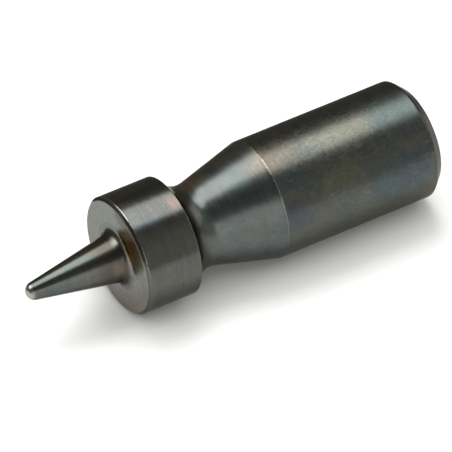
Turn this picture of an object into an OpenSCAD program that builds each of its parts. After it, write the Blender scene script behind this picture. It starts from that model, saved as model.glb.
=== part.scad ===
// Hand-struck setting punch, turned from round bar. It lies along X with the pilot towards -X,
// resting on its collar and shank. The origin is on the floor, under the middle of its length.
// Every piece is a solid of revolution: its profile is drawn as [radius, station], where the
// station is the distance from the pilot's tip.

/* [Bar] */
// Diameter of the bar, shared by the shank and the setting collar
bar_d = 22.2; // [20:0.1:26]

/* [Pilot] */
// Length of the tapered nose, from its tip to the setting face
pilot_len = 18.5; // [12:0.5:24]
// Diameter of the taper where it would meet the setting face without its fillet
pilot_base_d = 9.3; // [8:0.1:10]
// Radius of the rounded tip
tip_r = 1.7; // [1:0.1:2.5]
// Radius of the curling fillet at the foot of the taper
foot_fillet_r = 1.8; // [1:0.1:2.2]
// Thickness of the foot disc, which sits flush in the setting face
foot_disc_t = 1.5; // [1:0.1:2.5]
// Diameter of the tail, pressed through the collar and into the shank
tail_d = 6.5; // [5:0.1:7.5]
// Length of the tail behind the foot disc
tail_len = 8.5; // [7:0.1:9]

/* [Setting collar] */
// Width of the collar, from the setting face to its rear edge
collar_w = 10.8; // [9:0.1:13]
// Chamfer round the setting face
collar_chamfer = 0.55; // [0.2:0.05:1]
// Depth of the socket that takes the shank's spigot, from the collar's rear edge
socket_depth = 5; // [4:0.1:6]

/* [Neck and taper] */
// Radius of the concave neck
neck_r = 5.1; // [4.5:0.1:5.5]
// Diameter that the taper would have at the collar's rear edge without the neck
taper_small_d = 12.7; // [12:0.1:14]
// Length from the collar's rear edge to the end of the taper
taper_len = 17.9; // [16:0.1:22]
// How far behind the collar's rear edge the collar meets the shank, on the neck
seam_offset = 1.5; // [1:0.1:2]

/* [Shank] */
// Length of the full-diameter shank, chamfer included
shank_len = 32.9; // [20:0.1:60]
// Length of the chamfer at the struck end
struck_chamfer_len = 2; // [1:0.1:3]
// Height of the chamfer at the struck end
struck_chamfer_h = 1.9; // [1:0.1:3]
// Diameter of the spigot, pressed into the collar
spigot_d = 12; // [11:0.1:13]

/* [Hidden] */

$fn = 128;
bar_r = bar_d / 2;
tail_r = tail_d / 2;
spigot_r = spigot_d / 2;

// Stations along the axis, counted from the tip
face_at = pilot_len;
collar_rear_at = face_at + collar_w;
seam_at = collar_rear_at + seam_offset;
socket_floor_at = collar_rear_at - socket_depth;
taper_end_at = collar_rear_at + taper_len;
struck_face_at = taper_end_at + shank_len;
foot_disc_rear_at = face_at + foot_disc_t;
tail_end_at = foot_disc_rear_at + tail_len;
tail_hole_end_at = tail_end_at + 0.5;

// The pilot's cone is tangent to the rounded tip
pilot_base_r = pilot_base_d / 2;
cone_run = pilot_len - tip_r;
pilot_half_angle = acos(tip_r / norm([pilot_base_r, cone_run])) - atan2(cone_run, pilot_base_r);
tip_tangent = [tip_r * cos(pilot_half_angle), tip_r * (1 - sin(pilot_half_angle))];

// The foot's fillet is tangent to the cone and to the setting face
fillet_centre = [
    pilot_base_r + foot_fillet_r * (1 / cos(pilot_half_angle) - tan(pilot_half_angle)),
    face_at - foot_fillet_r
];
fillet_tangent = fillet_centre - foot_fillet_r * [cos(pilot_half_angle), -sin(pilot_half_angle)];
foot_disc_land = 0.15;
foot_disc_r = fillet_centre[0] + foot_disc_land;

// The neck's arc starts at the collar's rear edge and is tangent to the taper.
// neck_back is how far its centre lies behind that edge, the root of a quadratic.
taper_small_r = taper_small_d / 2;
taper_slope = (bar_r - taper_small_r) / taper_len;
taper_angle = atan(taper_slope);
neck_rise = taper_small_r + neck_r / cos(taper_angle) - bar_r;
quad_a = 1 + taper_slope * taper_slope;
quad_b = 2 * taper_slope * neck_rise;
quad_c = neck_rise * neck_rise - neck_r * neck_r;
neck_back = (sqrt(quad_b * quad_b - 4 * quad_a * quad_c) - quad_b) / (2 * quad_a);
neck_centre = [bar_r + neck_rise + taper_slope * neck_back, collar_rear_at + neck_back];
neck_tangent = neck_centre + neck_r * [-cos(taper_angle), sin(taper_angle)];
seam_r = neck_centre[0] - sqrt(neck_r * neck_r - pow(neck_centre[1] - seam_at, 2));

steel = [0.30, 0.31, 0.33];
dark_steel = [0.22, 0.23, 0.25];
bright_steel = [0.42, 0.41, 0.40];

// A profile spun about the axis and laid along X
module turned() {
    translate([-struck_face_at / 2, 0, bar_r])
        rotate([0, 90, 0])
            rotate_extrude()
                children();
}

// A rectangle of the profile between two radii and two stations
module band(from_r, to_r, from_at, to_at) {
    translate([from_r, from_at])
        square([to_r - from_r, to_at - from_at]);
}

module neck_circle() {
    translate(neck_centre)
        circle(r = neck_r);
}

// The half of a round tip that lies on the profile's side of the axis
module tip_profile() {
    intersection() {
        translate([0, tip_r])
            circle(r = tip_r);
        band(0, 2 * tip_r, 0, tip_tangent[1]);
    }
}

module cone_profile() {
    polygon([
        [0, tip_tangent[1]],
        tip_tangent,
        [pilot_base_r, face_at],
        [0, face_at]
    ]);
}

// The corner between the cone and the setting face, hollowed by the fillet's circle
module fillet_profile() {
    difference() {
        polygon([
            [0, face_at],
            [0, fillet_tangent[1]],
            fillet_tangent,
            fillet_centre,
            [fillet_centre[0], face_at]
        ]);
        translate(fillet_centre)
            circle(r = foot_fillet_r);
    }
}

module pilot() {
    color(bright_steel)
        turned() {
            tip_profile();
            cone_profile();
            fillet_profile();
            band(0, foot_disc_r, face_at, foot_disc_rear_at);
            band(0, tail_r, foot_disc_rear_at, tail_end_at);
        }
}

module setting_collar() {
    color(steel)
        turned()
            difference() {
                polygon([
                    [0, face_at],
                    [bar_r - collar_chamfer, face_at],
                    [bar_r, face_at + collar_chamfer],
                    [bar_r, collar_rear_at],
                    [seam_r, seam_at],
                    [0, seam_at]
                ]);
                neck_circle();
                band(0, foot_disc_r, face_at, foot_disc_rear_at);
                band(0, tail_r, face_at, socket_floor_at);
                band(0, spigot_r, socket_floor_at, seam_at);
            }
}

module shank() {
    color(dark_steel)
        turned()
            difference() {
                union() {
                    polygon([
                        [0, seam_at],
                        [seam_r, seam_at],
                        neck_tangent,
                        [bar_r, taper_end_at],
                        [bar_r, struck_face_at - struck_chamfer_len],
                        [bar_r - struck_chamfer_h, struck_face_at],
                        [0, struck_face_at]
                    ]);
                    band(0, spigot_r, socket_floor_at, seam_at);
                }
                neck_circle();
                band(0, tail_r, socket_floor_at, tail_hole_end_at);
            }
}

pilot();
setting_collar();
shank();
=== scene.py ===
import math

import bpy
from mathutils import Matrix, Vector


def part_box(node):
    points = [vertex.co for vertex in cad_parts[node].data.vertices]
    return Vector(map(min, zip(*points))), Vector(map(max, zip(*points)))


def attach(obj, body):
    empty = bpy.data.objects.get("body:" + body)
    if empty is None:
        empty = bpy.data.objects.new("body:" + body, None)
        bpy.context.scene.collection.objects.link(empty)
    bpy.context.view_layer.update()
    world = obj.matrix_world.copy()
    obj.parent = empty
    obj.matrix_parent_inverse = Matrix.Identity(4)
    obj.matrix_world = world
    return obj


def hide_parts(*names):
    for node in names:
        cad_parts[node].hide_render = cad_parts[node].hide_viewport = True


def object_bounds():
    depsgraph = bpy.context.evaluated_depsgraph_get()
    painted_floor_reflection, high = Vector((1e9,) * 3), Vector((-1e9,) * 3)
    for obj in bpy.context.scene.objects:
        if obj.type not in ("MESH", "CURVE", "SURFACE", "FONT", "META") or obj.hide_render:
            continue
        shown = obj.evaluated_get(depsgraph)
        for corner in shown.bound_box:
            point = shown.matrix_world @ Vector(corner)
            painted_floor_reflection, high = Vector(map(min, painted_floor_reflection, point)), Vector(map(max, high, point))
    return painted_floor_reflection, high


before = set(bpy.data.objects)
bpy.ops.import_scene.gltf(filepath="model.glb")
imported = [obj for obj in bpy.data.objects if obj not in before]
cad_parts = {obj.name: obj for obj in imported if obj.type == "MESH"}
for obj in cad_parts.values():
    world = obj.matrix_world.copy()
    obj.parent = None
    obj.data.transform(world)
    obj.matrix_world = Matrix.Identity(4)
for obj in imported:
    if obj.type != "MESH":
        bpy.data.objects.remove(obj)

MM = 0.001
cad_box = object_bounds()

# ---------------------------------------------------------------- the frame's own measures
# The punch is a stack of solids of revolution about one line, parallel to X.

pilot_lo, pilot_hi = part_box("pilot")
collar_lo, collar_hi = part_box("setting_collar")
shank_lo, shank_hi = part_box("shank")

BODY = "punch"
BAR_R = (collar_hi.z - collar_lo.z) / 2
AXIS_Z = (collar_hi.z + collar_lo.z) / 2

TIP_X = pilot_lo.x
PILOT_END_X = pilot_hi.x
FACE_X = collar_lo.x
SEAM_X = collar_hi.x
SPIGOT_END_X = shank_lo.x
STRUCK_X = shank_hi.x
FOOT_DISC_R = (pilot_hi.z - pilot_lo.z) / 2

# Sizes that the boxes don't hold, the same as in the CAD source
TIP_R = 1.7 * MM
PILOT_BASE_R = 4.65 * MM
FOOT_FILLET_R = 1.8 * MM
FOOT_DISC_T = 1.5 * MM
TAIL_R = 3.25 * MM
SPIGOT_R = 6.0 * MM
FACE_CHAMFER = 0.55 * MM
REAR_EDGE_X = SEAM_X - 1.5 * MM
NECK_R = 5.1 * MM
TAPER_SMALL_R = 6.35 * MM
TAPER_END_X = REAR_EDGE_X + 17.9 * MM
STRUCK_CHAMFER_LEN = 2.0 * MM
STRUCK_CHAMFER_H = 1.9 * MM
TAIL_HOLE_END_X = PILOT_END_X + 0.5 * MM

SEGMENTS = 240
ON_AXIS = 1e-7  # a point nearer than this to the axis is on it


# ---------------------------------------------------------------- outlines
# An outline is a list of corners. Each holds its place, how far its edge is broken, and how
# bright that edge is, from 0 to 1: partly wear, partly a painted glint.

class Corner:
    def __init__(self, x, r, ease=0.0, wear_and_glint=0.0):
        self.at = Vector((x, r))
        self.ease = ease
        self.wear_and_glint = wear_and_glint


def arc(centre, radius, start, end, steps):
    """Corners along an arc of the outline, between two angles in degrees from +X towards +r."""
    found = []
    for i in range(steps + 1):
        a = math.radians(start + (end - start) * i / steps)
        found.append(Corner(centre[0] + radius * math.cos(a), centre[1] + radius * math.sin(a)))
    return found


EASE_STEPS = 6
SUPPORTS = (0.05 * MM, 0.12 * MM, 0.25 * MM, 0.5 * MM)
SHORTEST_SUPPORTED = 0.3 * MM


def supports(start, end):
    """Points near the start of a straight run, which keep its shading flat beside an eased edge."""
    run = end - start
    length = run.length
    if length <= SHORTEST_SUPPORTED:
        return []
    return [start + run * (d / length) for d in SUPPORTS if d < length * 0.45]


def eased(corners):
    """The outline's points with every eased corner rounded off, and the worn corners' places."""
    n = len(corners)
    points, worn = [], []
    for i, c in enumerate(corners):
        if c.wear_and_glint:
            worn.append((c.at, c.wear_and_glint))
        if not c.ease:
            points.append(c.at)
            continue
        before, after = corners[i - 1].at, corners[(i + 1) % n].at
        back = (before - c.at).normalized()
        on = (after - c.at).normalized()
        start, end = c.at + back * c.ease, c.at + on * c.ease
        points += supports(start, before)[::-1]
        for k in range(EASE_STEPS + 1):
            t = k / EASE_STEPS
            points.append(start * (1 - t) ** 2 + c.at * 2 * t * (1 - t) + end * t ** 2)
        points += supports(end, after)
    return points, worn


WEAR_WIDTH = 0.07 * MM  # how far the wear reaches from a corner


def wear_at(p, worn):
    """How worn a point of the outline is: a soft band along each worn corner."""
    return max([w * math.exp(-((p - q).length / WEAR_WIDTH) ** 2) for q, w in worn], default=0.0)


def distances(points):
    """How far along the outline each of its points lies."""
    run, runs = 0.0, [0.0]
    for a, b in zip(points, points[1:]):
        run += (b - a).length
        runs.append(run)
    return runs


def ring_faces(a, b):
    """The faces between two rings of vertices, either of which may be one point on the axis."""
    faces = []
    for k in range(SEGMENTS):
        n = (k + 1) % SEGMENTS
        if len(a) == 1:
            faces.append((a[0], b[n], b[k]))
        elif len(b) == 1:
            faces.append((a[k], a[n], b[0]))
        else:
            faces.append((a[k], a[n], b[n], b[k]))
    return faces


def turned_mesh(name, corners, closed):
    """The outline turned round the axis, with how far along it and how worn each vertex is."""
    points, worn = eased(corners)
    verts, rings, along, wear_and_glint = [], [], [], []
    for p, run in zip(points, distances(points)):
        count = 1 if p.y < ON_AXIS else SEGMENTS
        rings.append(range(len(verts), len(verts) + count))
        for k in range(count):
            a = 2 * math.pi * k / SEGMENTS
            r = 0.0 if count == 1 else p.y
            verts.append((p.x, r * math.cos(a), AXIS_Z + r * math.sin(a)))
        along += [run] * count
        wear_and_glint += [wear_at(p, worn)] * count
    pairs = list(zip(rings, rings[1:]))
    if closed:
        pairs.append((rings[-1], rings[0]))
    faces = [face for a, b in pairs for face in ring_faces(a, b)]
    mesh = bpy.data.meshes.new(name)
    mesh.from_pydata(verts, [], faces)
    mesh.validate()
    mesh.attributes.new("along", "FLOAT", "POINT").data.foreach_set("value", along)
    mesh.attributes.new("wear_and_glint", "FLOAT", "POINT").data.foreach_set("value", wear_and_glint)
    mesh.shade_smooth()
    return mesh


def lathe(name, node, corners, material, closed=False):
    """A piece turned from an outline. An open outline starts and ends on the axis."""
    mesh = turned_mesh(name, corners, closed)
    mesh.materials.append(material)
    piece = bpy.data.objects.new(name, mesh)
    bpy.context.scene.collection.objects.link(piece)
    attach(piece, BODY)
    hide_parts(node)


# ---------------------------------------------------------------- materials
# Every colour here is a metal's reflection seen face on. The oxide left by the heat is dark, and
# its thickness shows as a tint. A few stand in for light and shade, and are marked as painted.

OXIDE = (0.090, 0.094, 0.084, 1)
OXIDE_SMOOTH = (0.090, 0.098, 0.094, 1)
OXIDE_WARM = (0.092, 0.091, 0.080, 1)
# Pale oxide for a cream patch on the bar, and a painted reflection of the floor on its lower side.
PALE_OXIDE_AND_REFLECTION = (0.118, 0.119, 0.098, 1)
# Painted shade: a darker grey that dims the collar's highlight.
HIGHLIGHT_SHADE_GREY = (0.070, 0.074, 0.070, 1)
# Painted shade: near-black for the dark line where the struck chamfer's reflection darkens.
SHADE_BLACK = (0.02, 0.02, 0.017, 1)

TEAL = (0.066, 0.086, 0.084, 1)
BLUE = (0.071, 0.091, 0.100, 1)
SLATE = (0.074, 0.080, 0.092, 1)
OLIVE = (0.114, 0.120, 0.084, 1)
BRONZE = (0.116, 0.104, 0.080, 1)
COPPER = (0.112, 0.090, 0.078, 1)
ROSE = (0.114, 0.093, 0.083, 1)
RUST = (0.185, 0.130, 0.088, 1)
RUSSET = (0.125, 0.086, 0.062, 1)
# Painted shade for the groove behind the collar.
GROOVE_SHADE = (0.062, 0.046, 0.034, 1)
DUN = (0.060, 0.053, 0.043, 1)

# Metal rubbed paler than the oxide, some of it also used for a painted glint and a painted reflection
SCUFF = (0.17, 0.175, 0.18, 1)
# Rubbed paler metal, also used for a painted glint on the pilot's foot fillet.
RUBBED_AND_GLINT = (0.205, 0.218, 0.198, 1)
# A pink rub, made paler as a painted reflection of the floor.
PINK_RUB_AND_REFLECTION = (0.285, 0.262, 0.232, 1)
RUBBED_SAGE = (0.26, 0.30, 0.18, 1)
STRAW_BROWN = (0.41, 0.25, 0.12, 1)
# Bare steel on worn edges and the tip. On the edges, weighted to the top, it is also a painted glint.
BRIGHT_STEEL = (0.55, 0.53, 0.48, 1)

# How much darker a metal gets at grazing angles
EDGE_TINT = (0.6, 0.6, 0.6, 1)
# The value at which noise leaves a layer unchanged
MIDDLE = (0.5, 0.5, 0.5, 1)
# A patch is whole inside the first share of its size, and gone outside the second
PATCH_CORE = 0.45
PATCH_EDGE = 1.35


def on_surface(x, angle, radius):
    """The place on a round piece at x, with the angle in degrees up from the side facing -Y."""
    a = math.radians(angle)
    return Vector((x, -radius * math.cos(a), AXIS_Z + radius * math.sin(a)))


class Nodes:
    """A material's node tree, with short calls for the nodes that repeat."""

    def __init__(self, name):
        self.material = bpy.data.materials.new(name)
        self.material.use_nodes = True
        self.tree = self.material.node_tree
        self.shader = self.tree.nodes["Principled BSDF"]

    def new(self, kind, **settings):
        node = self.tree.nodes.new(kind)
        for key, value in settings.items():
            setattr(node, key, value)
        return node

    def feed(self, socket, value):
        if isinstance(value, bpy.types.NodeSocket):
            self.tree.links.new(value, socket)
        else:
            socket.default_value = value

    def attribute(self, name):
        return self.new("ShaderNodeAttribute", attribute_name=name).outputs["Fac"]

    def math(self, operation, a, b=0.0):
        node = self.new("ShaderNodeMath", operation=operation)
        self.feed(node.inputs[0], a)
        self.feed(node.inputs[1], b)
        return node.outputs[0]

    def scaled(self, colour, factor):
        node = self.new("ShaderNodeVectorMath", operation="SCALE")
        self.feed(node.inputs[0], colour if isinstance(colour, bpy.types.NodeSocket) else colour[:3])
        self.feed(node.inputs["Scale"], factor)
        return node.outputs[0]

    def mix(self, fac, a, b):
        node = self.new("ShaderNodeMix", data_type="RGBA")
        self.feed(node.inputs["Factor"], fac)
        self.feed(node.inputs["A"], a)
        self.feed(node.inputs["B"], b)
        return node.outputs["Result"]

    def noise(self, vector, detail=3.0, roughness=0.55):
        node = self.new("ShaderNodeTexNoise")
        self.feed(node.inputs["Vector"], vector)
        self.feed(node.inputs["Scale"], 1.0)
        self.feed(node.inputs["Detail"], detail)
        self.feed(node.inputs["Roughness"], roughness)
        return node.outputs["Fac"]

    def between(self, value, painted_floor_reflection, high, to_low=0.0, to_high=1.0):
        """value from low..high to to_low..to_high, smoothly and held at the ends."""
        node = self.new("ShaderNodeMapRange", interpolation_type="SMOOTHSTEP")
        self.feed(node.inputs["Value"], value)
        self.feed(node.inputs["From Min"], painted_floor_reflection)
        self.feed(node.inputs["From Max"], high)
        self.feed(node.inputs["To Min"], to_low)
        self.feed(node.inputs["To Max"], to_high)
        return node.outputs["Result"]


class Skin(Nodes):
    """A steel surface, whose colour, roughness and relief are built up layer by layer."""

    def __init__(self, name, colour, rough, seed):
        super().__init__(name)
        self.colour = colour
        self.rough = rough
        self.height = 0.0
        self.seed = seed
        self.at = self.new("ShaderNodeTexCoord").outputs["Object"]
        split = self.new("ShaderNodeSeparateXYZ")
        self.feed(split.inputs[0], self.at)
        self.x = split.outputs["X"]
        self.z = split.outputs["Z"]
        self.wobble = self.grain(1.6 * MM)

    def moved(self, offset, scale):
        node = self.new("ShaderNodeMapping")
        self.feed(node.inputs["Vector"], self.at)
        self.feed(node.inputs["Location"], offset)
        self.feed(node.inputs["Scale"], scale)
        return node.outputs["Vector"]

    def grain(self, size, detail=3.0, stretch=1.0):
        """Even noise with features of this size, drawn out along the axis by stretch."""
        self.seed += 7.3
        scale = (1 / (size * stretch), 1 / size, 1 / size)
        return self.noise(self.moved((self.seed, self.seed, 0), scale), detail)

    def turned(self, pitch, wander):
        """Noise in lines round the axis, as a lathe tool leaves, that drift slowly round it."""
        self.seed += 7.3
        spin = self.new("ShaderNodeVectorMath", operation="NORMALIZE")
        self.feed(spin.inputs[0], self.moved((0, 0, -AXIS_Z), (0, 1, 1)))
        split = self.new("ShaderNodeSeparateXYZ")
        self.feed(split.inputs[0], spin.outputs["Vector"])
        join = self.new("ShaderNodeCombineXYZ")
        lines = self.math("MULTIPLY", self.attribute("along"), 1 / pitch)
        self.feed(join.inputs["X"], self.math("ADD", lines, self.seed))
        self.feed(join.inputs["Y"], self.math("MULTIPLY", split.outputs["Y"], wander))
        self.feed(join.inputs["Z"], self.math("MULTIPLY", split.outputs["Z"], wander))
        return self.noise(join.outputs["Vector"], 3.0, 0.6)

    def both(self, a, b):
        """Where two masks meet."""
        return self.math("MULTIPLY", a, b)

    def outside(self, mask):
        return self.math("SUBTRACT", 1.0, mask)

    def within(self, mask, noise):
        """The noise inside the mask, and no change outside it."""
        return self.mix(mask, MIDDLE, noise)

    def step(self, x, blur=0.05 * MM):
        """0 before this x and 1 after it."""
        return self.between(self.x, x - blur, x + blur)

    def band(self, start, end, blur):
        """1 between two places along the axis, and 0 beyond them."""
        before_end = self.between(self.x, end - blur, end + blur, 1, 0)
        return self.both(self.step(start, blur), before_end)

    def patch(self, place, length, girth, ragged=0.8):
        """1 inside a rounded patch, fading out past its edge, which the wobble makes ragged."""
        size = (length / 2, girth / 2, girth / 2)
        offset = [-p / s for p, s in zip(place, size)]
        reach = self.new("ShaderNodeVectorMath", operation="LENGTH")
        self.feed(reach.inputs[0], self.moved(offset, [1 / s for s in size]))
        edge = self.math("MULTIPLY", self.math("SUBTRACT", self.wobble, 0.5), 2 * ragged)
        ragged_reach = self.math("ADD", reach.outputs["Value"], edge)
        return self.between(ragged_reach, PATCH_CORE, PATCH_EDGE, 1, 0)

    def tint(self, mask, colour, strength=1.0):
        self.colour = self.mix(self.math("MULTIPLY", mask, strength), self.colour, colour)

    def vary(self, noise, colour=0.0, rough=0.0, relief=0.0):
        """Noise moves the colour by a share, the roughness by an amount and the height in metres."""
        centred = self.math("MULTIPLY", self.math("SUBTRACT", noise, 0.5), 2.0)

        def swing(amount):
            return self.math("MULTIPLY", centred, amount)

        if colour:
            self.colour = self.scaled(self.colour, self.math("ADD", swing(colour), 1.0))
        if rough:
            self.rough = self.math("ADD", self.rough, swing(rough))
        if relief:
            self.height = self.math("ADD", self.height, swing(relief))

    def wear_and_glint(self, below=0.4):
        """Bare metal on the worn edges, broken up by noise, with a painted glint: weaker below the axis,
        so the edges are brightest on the lit top.
        """
        broken = self.between(self.grain(0.9 * MM, 4.0), 0.36, 0.58, 0.15, 1.0)
        # Painted glint: the worn edges are made brightest on the lit top.
        lit_top_glint = self.between(self.z, AXIS_Z, AXIS_Z + 0.9 * BAR_R, below, 1.0)
        self.tint(self.both(self.attribute("wear_and_glint"), self.both(broken, lit_top_glint)), BRIGHT_STEEL)

    def finish(self):
        bump = self.new("ShaderNodeBump")
        self.feed(bump.inputs["Strength"], 1.0)
        self.feed(bump.inputs["Distance"], 1.0)
        self.feed(bump.inputs["Height"], self.height)
        self.feed(self.shader.inputs["Normal"], bump.outputs["Normal"])
        self.feed(self.shader.inputs["Base Color"], self.colour)
        self.feed(self.shader.inputs["Roughness"], self.rough)
        self.shader.inputs["Metallic"].default_value = 1.0
        self.shader.inputs["Specular Tint"].default_value = EDGE_TINT
        return self.material


def tint_round(s, patches):
    """Heat tints on the bar's full diameter, and a painted shade that dims the collar's highlight.

    Each is x, angle, length, girth, colour and strength, with the lengths in mm.
    """
    for x, angle, length, girth, colour, strength in patches:
        place = on_surface(x * MM, angle, BAR_R)
        s.tint(s.patch(place, length * MM, girth * MM), colour, strength)


BAR_TINTS = (
    (8.5, 80, 9, 8, BRONZE, 0.75),
    (23, 76, 13, 7, PALE_OXIDE_AND_REFLECTION, 0.9),
    (34, 74, 11, 9, TEAL, 0.75),
    (31, 16, 15, 9, BLUE, 0.8),
    (10, 52, 8, 4, BLUE, 0.6),
    (9.5, 16, 7, 6, SLATE, 0.7),
    (20, 37, 9, 4, OLIVE, 0.7),
    (13, 106, 4, 4, ROSE, 0.5),
    (27, -60, 16, 12, BRONZE, 0.4),
    (16, 190, 14, 10, BLUE, 0.5),
    (30, 150, 12, 9, OLIVE, 0.5),
)

RIM_TINTS = (
    # Painted shade: dull grey across the rim's top, dimming the highlight there.
    (-17, 78, 16, 7, HIGHLIGHT_SHADE_GREY, 0.9),
    (-18, 63, 8, 3, BLUE, 0.45),
    (-11.8, 75, 2.4, 3.2, COPPER, 0.9),
    (-19, 106, 6, 8, BRONZE, 0.5),
    (-15, 200, 8, 12, BRONZE, 0.5),
    (-17, -70, 9, 12, BLUE, 0.4),
)


def tint_bar(s, bar):
    """Mottled oxide on the bar, paler low down as a painted reflection of the lit floor, with patches of
    heat tint.
    """
    s.tint(bar, OXIDE)
    # Painted reflection: the bar's lower side made paler, as if lit by the floor.
    painted_floor_reflection = s.between(s.z, AXIS_Z - 3 * MM, AXIS_Z + 4 * MM, 1, 0)
    s.tint(s.both(painted_floor_reflection, bar), PALE_OXIDE_AND_REFLECTION, 0.65)
    s.vary(bar, rough=0.025)
    s.tint(s.both(bar, s.between(s.grain(3.5 * MM), 0.48, 0.66)), OLIVE, 0.35)
    s.tint(s.between(s.grain(4.5 * MM), 0.50, 0.68), TEAL, 0.45)
    tint_round(s, BAR_TINTS)


def tint_neck(s):
    """Browned by heat on its upper side, with painted shade darkening the groove behind the collar."""
    s.tint(s.patch(on_surface(-5.5 * MM, 120, 6.5 * MM), 11 * MM, 6 * MM, 0.5), RUST, 0.9)
    s.tint(s.patch(on_surface(2 * MM, 122, 9.5 * MM), 11 * MM, 7 * MM), BRONZE, 0.8)
    s.tint(s.patch(on_surface(0, 62, 9 * MM), 12 * MM, 2.5 * MM), BLUE, 0.5)
    # Painted shade: a dark brown band all round the groove behind the collar.
    s.tint(s.band(SEAM_X - MM, NECK_CENTRE.x - 1.5 * MM, 1.2 * MM), GROOVE_SHADE, 0.5)


def roughen_shank(s, bar):
    """Turned lines on the taper, and mottling, pits and scuffs on the bar."""
    lines = s.turned(0.32 * MM, 0.8)
    lined = s.math("ADD", s.outside(bar), 0.25)
    s.vary(s.math("MULTIPLY", lined, lines), colour=0.16, rough=0.03, relief=4e-6)
    speckle = s.grain(0.60 * MM, 4.0)
    s.vary(s.within(bar, speckle), colour=0.20, rough=0.05, relief=4e-6)
    coarser = s.patch(on_surface(20 * MM, 80, BAR_R), 28 * MM, 13 * MM)
    s.vary(s.within(coarser, speckle), colour=0.50, rough=0.06, relief=4.5e-6)
    s.vary(s.grain(0.30 * MM, 2.0), colour=0.10, relief=1.0e-6)
    s.vary(s.grain(2.2 * MM), colour=0.24, rough=0.03)
    scuffs = s.between(s.grain(0.40 * MM, 3.0, 4.5), 0.60, 0.76)
    s.tint(scuffs, SCUFF, 0.45)


def tint_struck_chamfer(s):
    """A rosy chamfer, with painted shade: a dark line along the upper part of its inner edge, where the
    reflection darkens at the bend.
    """
    start = STRUCK_X - STRUCK_CHAMFER_LEN
    s.tint(s.step(start), ROSE, 0.35)
    above = s.between(s.z, AXIS_Z, AXIS_Z + 0.8 * BAR_R)
    edge = s.band(start - 0.1 * MM, start + 0.35 * MM, 0.1 * MM)
    # Painted shade along the upper part of the chamfer's inner edge.
    s.tint(s.both(edge, above), SHADE_BLACK, 0.9)


def shank_steel():
    """Mottled oxide on the bar's own skin, a smoother turned taper and a heat-tinted neck with painted
    shade in its groove.
    """
    s = Skin("shank_steel", OXIDE_SMOOTH, 0.305, 11.0)
    bar = s.step(TAPER_END_X)
    tint_bar(s, bar)
    tint_neck(s)
    roughen_shank(s, bar)
    tint_struck_chamfer(s)
    s.wear_and_glint()
    return s.finish()


def rubbed_face(s, mask):
    """The setting face, rubbed paler and tinted in patches, its lower part paler still: a pink rub and a
    painted reflection of the floor. It covers the ring and the pilot's foot.
    """
    grain = s.math("ADD", s.math("MULTIPLY", s.grain(0.8 * MM, 4.0), 0.5), 0.75)

    def tinted(radius, angle, across, colour, strength):
        place = on_surface(FACE_X, angle, radius * MM)
        spot = s.both(mask, s.patch(place, across * MM, across * MM))
        s.tint(spot, s.scaled(colour, grain), strength)

    s.tint(mask, s.scaled(RUBBED_AND_GLINT, grain))
    # Partly a pink rub, partly a painted reflection of the lit floor below the pilot.
    tinted(8.0, -60, 15, PINK_RUB_AND_REFLECTION, 1.0)
    tinted(7.8, 50, 6.5, STRAW_BROWN, 0.9)
    tinted(9.8, 28, 3.5, RUBBED_SAGE, 0.6)
    tinted(10.5, 84, 4, TEAL, 0.6)


def collar_steel():
    """Fine turned oxide round the rim, with painted shade dimming the highlight on its top, and a paler
    setting face with heat tints by the pilot, paler still low down, partly as a painted reflection of
    the floor.
    """
    s = Skin("collar_steel", OXIDE_WARM, 0.26, 37.0)
    s.tint(s.between(s.grain(4.0 * MM), 0.48, 0.66), SLATE, 0.35)
    tint_round(s, RIM_TINTS)

    s.vary(s.turned(0.30 * MM, 0.8), colour=0.30, rough=0.04, relief=4e-6)
    s.vary(s.grain(0.40 * MM, 3.0), colour=0.25, rough=0.03, relief=2e-6)
    s.vary(s.grain(2.0 * MM), colour=0.22, rough=0.03)

    face = s.outside(s.step(FACE_X + 0.06 * MM, 0.04 * MM))
    s.vary(face, rough=0.05)
    rubbed_face(s, face)
    s.wear_and_glint(below=0.1)
    return s.finish()


def pilot_steel():
    """Satin steel, browned towards its foot and along its top, rubbed bright at its tip, and with a
    painted highlight on its foot fillet.
    """
    s = Skin("pilot_steel", OXIDE, 0.25, 71.0)

    def spot(before_face, angle, radius, length, girth, ragged=0.8):
        place = on_surface(FACE_X - before_face * MM, angle, radius * MM)
        return s.patch(place, length * MM, girth * MM, ragged)

    s.tint(s.between(s.grain(3.0 * MM, 2.0), 0.46, 0.62), TEAL, 0.6)
    s.tint(s.between(s.grain(2.6 * MM, 2.0), 0.50, 0.64), ROSE, 0.25)
    s.tint(s.step(FACE_X - 5.5 * MM, 2.5 * MM), DUN, 0.85)
    s.tint(spot(8, 122, 3.5, 24, 2.6), RUSSET, 0.7)

    s.vary(s.turned(0.26 * MM, 0.6), colour=0.20, rough=0.04, relief=3e-6)
    s.tint(spot(2.2, 14, 4.7, 2.4, 3, 0.4), RUST, 0.3)
    # Painted highlight: a pale spot on the foot fillet where the softbox glints.
    s.tint(spot(1.0, 78, 5.1, 1.8, 2, 0.2), RUBBED_AND_GLINT, 0.45)
    foot = s.step(FACE_X - 0.30 * MM, 0.35 * MM)
    rubbed_face(s, s.math("MULTIPLY", foot, 0.75))
    s.vary(s.grain(0.35 * MM, 3.0, 3.0), colour=0.16, rough=0.03)
    tip = s.between(s.x, TIP_X + 0.35 * MM, TIP_X + 1.3 * MM, 1, 0)
    s.tint(tip, BRIGHT_STEEL, 0.5)
    s.wear_and_glint()
    return s.finish()


# ---------------------------------------------------------------- the three pieces

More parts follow.
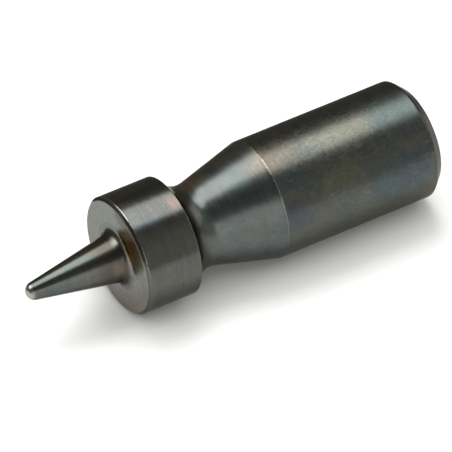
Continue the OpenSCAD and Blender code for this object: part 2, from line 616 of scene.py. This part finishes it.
def neck_arc():
    """The centre of the neck's concave arc, and the taper's slope in degrees.

    The arc starts at the collar's rear edge and is tangent to the taper.
    """
    slope = (BAR_R - TAPER_SMALL_R) / (TAPER_END_X - REAR_EDGE_X)
    angle = math.atan(slope)
    rise = TAPER_SMALL_R + NECK_R / math.cos(angle) - BAR_R
    a, b, c = 1 + slope ** 2, 2 * slope * rise, rise ** 2 - NECK_R ** 2
    back = (math.sqrt(b * b - 4 * a * c) - b) / (2 * a)
    centre = Vector((REAR_EDGE_X + back, BAR_R + rise + slope * back))
    return centre, math.degrees(angle)


NECK_CENTRE, TAPER_ANGLE = neck_arc()


def neck_angle(x, r):
    """The direction from the arc's centre to a point of the outline, from 0 to 360 degrees."""
    return math.degrees(math.atan2(r - NECK_CENTRE.y, x - NECK_CENTRE.x)) % 360


SEAM_R = NECK_CENTRE.y - math.sqrt(NECK_R ** 2 - (NECK_CENTRE.x - SEAM_X) ** 2)
REAR_EDGE_ANGLE = neck_angle(REAR_EDGE_X, BAR_R)
SEAM_ANGLE = neck_angle(SEAM_X, SEAM_R)
NECK_END_ANGLE = 270 + TAPER_ANGLE

# How far the edges are broken where two pieces meet, so that the joint shows as a fine line
HAIRLINE = 0.03 * MM


def pilot_outline():
    """From the tip along the cone, its foot fillet, the foot disc and the tail."""
    run = FACE_X - TIP_X - TIP_R
    half_angle = math.acos(TIP_R / math.hypot(PILOT_BASE_R, run)) - math.atan2(run, PILOT_BASE_R)
    slant = math.degrees(half_angle)
    fillet_centre = Vector((
        FACE_X - FOOT_FILLET_R,
        PILOT_BASE_R + FOOT_FILLET_R * (1 / math.cos(half_angle) - math.tan(half_angle)),
    ))
    disc_rear = FACE_X + FOOT_DISC_T
    return [
        *arc((TIP_X + TIP_R, 0), TIP_R, 180, 90 + slant, 18),
        *arc(fillet_centre, FOOT_FILLET_R, 270 + slant, 360, 14),
        Corner(FACE_X, FOOT_DISC_R, HAIRLINE),
        Corner(disc_rear, FOOT_DISC_R, HAIRLINE),
        Corner(disc_rear, TAIL_R),
        Corner(PILOT_END_X, TAIL_R, 0.2 * MM),
        Corner(PILOT_END_X, 0),
    ]


def collar_outline():
    """A closed loop: the setting face, the rim, the rear face and the bores inside."""
    disc_rear = FACE_X + FOOT_DISC_T
    return [
        Corner(FACE_X, FOOT_DISC_R, HAIRLINE),
        Corner(FACE_X, BAR_R - FACE_CHAMFER, 0.07 * MM, 0.2),
        Corner(FACE_X + FACE_CHAMFER, BAR_R, 0.07 * MM, 0.6),
        Corner(REAR_EDGE_X, BAR_R, 0.1 * MM, 0.7),
        *arc(NECK_CENTRE, NECK_R, REAR_EDGE_ANGLE, SEAM_ANGLE, 10)[1:-1],
        Corner(SEAM_X, SEAM_R, HAIRLINE),
        Corner(SEAM_X, SPIGOT_R),
        Corner(SPIGOT_END_X, SPIGOT_R),
        Corner(SPIGOT_END_X, TAIL_R),
        Corner(disc_rear, TAIL_R),
        Corner(disc_rear, FOOT_DISC_R),
    ]


def shank_outline():
    """From the spigot's end along the shoulder, neck, taper and shank to the struck face."""
    return [
        Corner(TAIL_HOLE_END_X, 0),
        Corner(TAIL_HOLE_END_X, TAIL_R),
        Corner(SPIGOT_END_X, TAIL_R),
        Corner(SPIGOT_END_X, SPIGOT_R, 0.2 * MM),
        Corner(SEAM_X, SPIGOT_R),
        Corner(SEAM_X, SEAM_R, HAIRLINE),
        *arc(NECK_CENTRE, NECK_R, SEAM_ANGLE, NECK_END_ANGLE, 40)[1:],
        Corner(TAPER_END_X, BAR_R, 0.08 * MM, 0.5),
        Corner(STRUCK_X - STRUCK_CHAMFER_LEN, BAR_R, 0.2 * MM, 0.3),
        Corner(STRUCK_X, BAR_R - STRUCK_CHAMFER_H, 0.3 * MM, 0.6),
        Corner(STRUCK_X, 0),
    ]


lathe("pilot_nose", "pilot", pilot_outline(), pilot_steel())
lathe("collar_ring", "setting_collar", collar_outline(), collar_steel(), True)
lathe("shank_bar", "shank", shank_outline(), shank_steel())


# ---------------------------------------------------------------- floor, light and camera

def direction(azimuth, elevation):
    """A unit vector that points away from the object: azimuth 0 is -Y, 90 is +X."""
    a, e = math.radians(azimuth), math.radians(elevation)
    return Vector((math.sin(a) * math.cos(e), -math.cos(a) * math.cos(e), math.sin(e)))


def plane(name, corners, material):
    """A flat four-cornered piece of the stage."""
    mesh = bpy.data.meshes.new(name)
    mesh.from_pydata(corners, [], [(0, 1, 2, 3)])
    mesh.materials.append(material)
    piece = bpy.data.objects.new(name, mesh)
    bpy.context.scene.collection.objects.link(piece)
    return piece


FLOOR_HALF = 3.0
FLOOR_Z = cad_box[0].z
FLOOR_COLOUR = (0.88, 0.88, 0.87, 1)


def make_floor():
    """Matt white paper, far larger than the picture."""
    paper = Nodes("floor_paper")
    paper.feed(paper.shader.inputs["Base Color"], FLOOR_COLOUR)
    paper.feed(paper.shader.inputs["Roughness"], 0.9)
    paper.feed(paper.shader.inputs["Specular IOR Level"], 0.2)
    signs = ((-1, -1), (1, -1), (1, 1), (-1, 1))
    corners = [(FLOOR_HALF * x, FLOOR_HALF * y, FLOOR_Z) for x, y in signs]
    floor = plane("floor", corners, paper.material)


def area_light(name, radiance, size, centre, long_axis, in_reflections):
    """A rectangular softbox that faces the object, its length along long_axis.

    It is seen only in reflections, or else it lights only the matt floor.
    """
    light = bpy.data.lights.new(name, "AREA")
    light.shape = "RECTANGLE"
    light.size, light.size_y = size
    light.energy = radiance * math.pi * size[0] * size[1]
    lamp = bpy.data.objects.new(name, light)
    bpy.context.scene.collection.objects.link(lamp)
    z = centre.normalized()
    x = (long_axis - z * long_axis.dot(z)).normalized()
    y = z.cross(x)
    lamp.matrix_world = Matrix.Translation(centre) @ Matrix((x, y, z)).transposed().to_4x4()
    lamp.visible_camera = False
    lamp.visible_glossy = in_reflections
    lamp.visible_diffuse = not in_reflections


X_AXIS = Vector((1, 0, 0))
Y_AXIS = Vector((0, 1, 0))
BOX_DISTANCE = 0.8
CARD_DISTANCE = 0.6
FRONT_CARD_SIZE = (0.66, 0.40)


def make_reflected_lights():
    """A long softbox along the object's top, and cards in front and beyond the struck end."""
    facing = Vector((0.03, 0.63, 0.777)).normalized()
    along = Vector((0.934, -0.308, 0.216)).normalized()
    along = (along - facing * along.dot(facing)).normalized()
    across = facing.cross(along).normalized()
    middle = Vector((0, 0, AXIS_Z))
    centre = middle + BOX_DISTANCE * (facing - 0.295 * across - 0.03 * along)
    area_light("softbox", 4.55, (1.9 * BOX_DISTANCE, 0.80 * BOX_DISTANCE), centre, along, True)

    front = direction(-22, 15) * CARD_DISTANCE
    area_light("front_card", 1.40, FRONT_CARD_SIZE, front, X_AXIS, True)
    side = direction(88, 30) * CARD_DISTANCE
    area_light("side_card", 1.3, (0.40, 0.36), side, Y_AXIS, True)


def make_floor_lights():
    """A high key behind the object, with fills from the front, the left and overhead."""
    high = Vector((0, 0, AXIS_Z)) + BOX_DISTANCE * Vector((0.1, 0.49, 0.87))
    area_light("key", 4.9, (0.6 * BOX_DISTANCE, 0.75 * BOX_DISTANCE), high, X_AXIS, False)
    front = direction(-22, 20) * CARD_DISTANCE
    area_light("front_fill", 1.2, FRONT_CARD_SIZE, front, X_AXIS, False)
    left = direction(-95, 40) * CARD_DISTANCE
    area_light("left_fill", 1.7, (0.4, 0.4), left, Y_AXIS, False)
    area_light("overhead", 1.45, (2.4, 2.4), Vector((0, 0, 1.5)), X_AXIS, False)


FLAG_X = (-0.10, 0.16)
FLAG_Y = 0.034
FLAG_HEIGHT = 0.032
FLAG_COLOUR = (1.0, 0.98, 0.85, 1)
FLAG_GLOW = 0.22


def make_flag():
    """A dim card behind the object, seen only in its reflections, which keeps its far edge dark."""
    felt = Nodes("flag_felt")
    felt.feed(felt.shader.inputs["Base Color"], (0, 0, 0, 1))
    felt.feed(felt.shader.inputs["Specular IOR Level"], 0.0)
    felt.feed(felt.shader.inputs["Emission Color"], FLAG_COLOUR)
    felt.feed(felt.shader.inputs["Emission Strength"], FLAG_GLOW)
    left, right = FLAG_X
    top = FLOOR_Z + FLAG_HEIGHT
    corners = [(x, FLAG_Y, z) for x, z in ((left, FLOOR_Z), (right, FLOOR_Z), (right, top), (left, top))]
    flag = plane("flag", corners, felt.material)
    flag.visible_camera = False
    flag.visible_diffuse = False
    flag.visible_shadow = False


WORLD_COLOUR = (1.0, 0.99, 0.93, 1)
BRIGHT_SIDE = (40, 12)
# The cosines from the bright side between which the brightness changes, and its two values
WORLD_RAMP = {"From Min": 0.55, "From Max": 0.95, "To Min": 0.16, "To Max": 0.60}


def make_world():
    """Dim surroundings, lighter towards the front right."""
    world = bpy.data.worlds.new("studio")
    world.use_nodes = True
    tree = world.node_tree
    background = tree.nodes["Background"]
    towards = tree.nodes.new("ShaderNodeVectorMath")
    towards.operation = "DOT_PRODUCT"
    tree.links.new(tree.nodes.new("ShaderNodeTexCoord").outputs["Generated"], towards.inputs[0])
    towards.inputs[1].default_value = direction(*BRIGHT_SIDE)
    ramp = tree.nodes.new("ShaderNodeMapRange")
    tree.links.new(towards.outputs["Value"], ramp.inputs["Value"])
    for name, value in WORLD_RAMP.items():
        ramp.inputs[name].default_value = value
    background.inputs["Color"].default_value = WORLD_COLOUR
    tree.links.new(ramp.outputs["Result"], background.inputs["Strength"])
    bpy.context.scene.world = world


CAMERA_DIRECTION = (-31.0, 42.92)
CAMERA_DISTANCE = 1.507
CAMERA_LENS = 685
CAMERA_SENSOR = 36
# Where the camera looks: a place on the axis, and how far right of it and above it, in bar radii
AIM_X = FACE_X - 18 * MM
AIM_RIGHT = 3.1165
AIM_UP = 1.0565


def make_camera():
    camera = bpy.data.cameras.new("camera")
    camera.sensor_width = CAMERA_SENSOR
    camera.lens = CAMERA_LENS
    camera.clip_start, camera.clip_end = 0.1, 20
    eye = bpy.data.objects.new("camera", camera)
    bpy.context.scene.collection.objects.link(eye)
    back = direction(*CAMERA_DIRECTION)
    eye.rotation_mode = "QUATERNION"
    eye.rotation_quaternion = (-back).to_track_quat("-Z", "Y")
    right = eye.rotation_quaternion @ Vector((1, 0, 0))
    up = eye.rotation_quaternion @ Vector((0, 1, 0))
    aim = Vector((AIM_X, 0, AXIS_Z))
    eye.location = aim + back * CAMERA_DISTANCE + right * (AIM_RIGHT * BAR_R) + up * (AIM_UP * BAR_R)
    bpy.context.scene.camera = eye


make_floor()
make_reflected_lights()
make_floor_lights()
make_flag()
make_world()
make_camera()
bpy.context.scene.view_settings.view_transform = "Standard"
